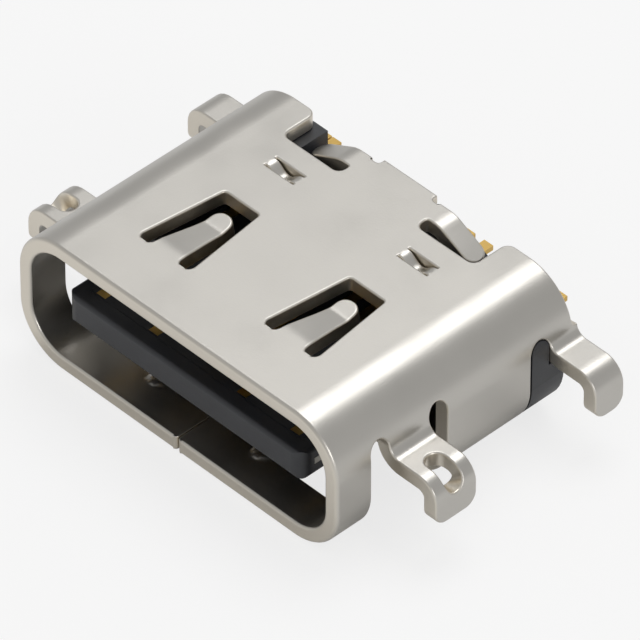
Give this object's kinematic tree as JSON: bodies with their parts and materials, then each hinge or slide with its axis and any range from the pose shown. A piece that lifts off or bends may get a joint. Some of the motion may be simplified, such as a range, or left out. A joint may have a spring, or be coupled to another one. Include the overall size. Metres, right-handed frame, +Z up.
{
  "type": "usb-c socket",
  "caption": "Board cut-out socket for a reversible data plug: a folded sheet shell with spread legs round a moulded housing whose tongue carries rows of gilt contacts.",
  "frame": {"origin": "middle of the bounding box in X and Y, at the height of the shell's floor (the lowest face)", "axes": "+X across the mouth, +Y from the mouth to the solder tails, +Z up from the board"},
  "size_m": [0.0116, 0.0074, 0.0033],
  "materials": {
    "nickel_sheet": "satin nickel plate with stamped edges",
    "lcp_black": "moulded, slightly glossy",
    "plate_steel": "plain stamped",
    "gold_contact": "gold plate over nickel"
  },
  "bodies": {
    "root": {"shell": "nickel_sheet", "housing": "lcp_black", "upper_carrier": "lcp_black", "lower_carrier": "lcp_black", "mid_plate": "plate_steel", "contact_a1": "gold_contact", "contact_a4": "gold_contact", "contact_a5": "gold_contact", "contact_a6": "gold_contact", "contact_a7": "gold_contact", "contact_a8": "gold_contact", "contact_a9": "gold_contact", "contact_a12": "gold_contact", "contact_b12": "gold_contact", "contact_b9": "gold_contact", "contact_b8": "gold_contact", "contact_b7": "gold_contact", "contact_b6": "gold_contact", "contact_b5": "gold_contact", "contact_b4": "gold_contact", "contact_b1": "gold_contact"}
  },
  "joints": []
}
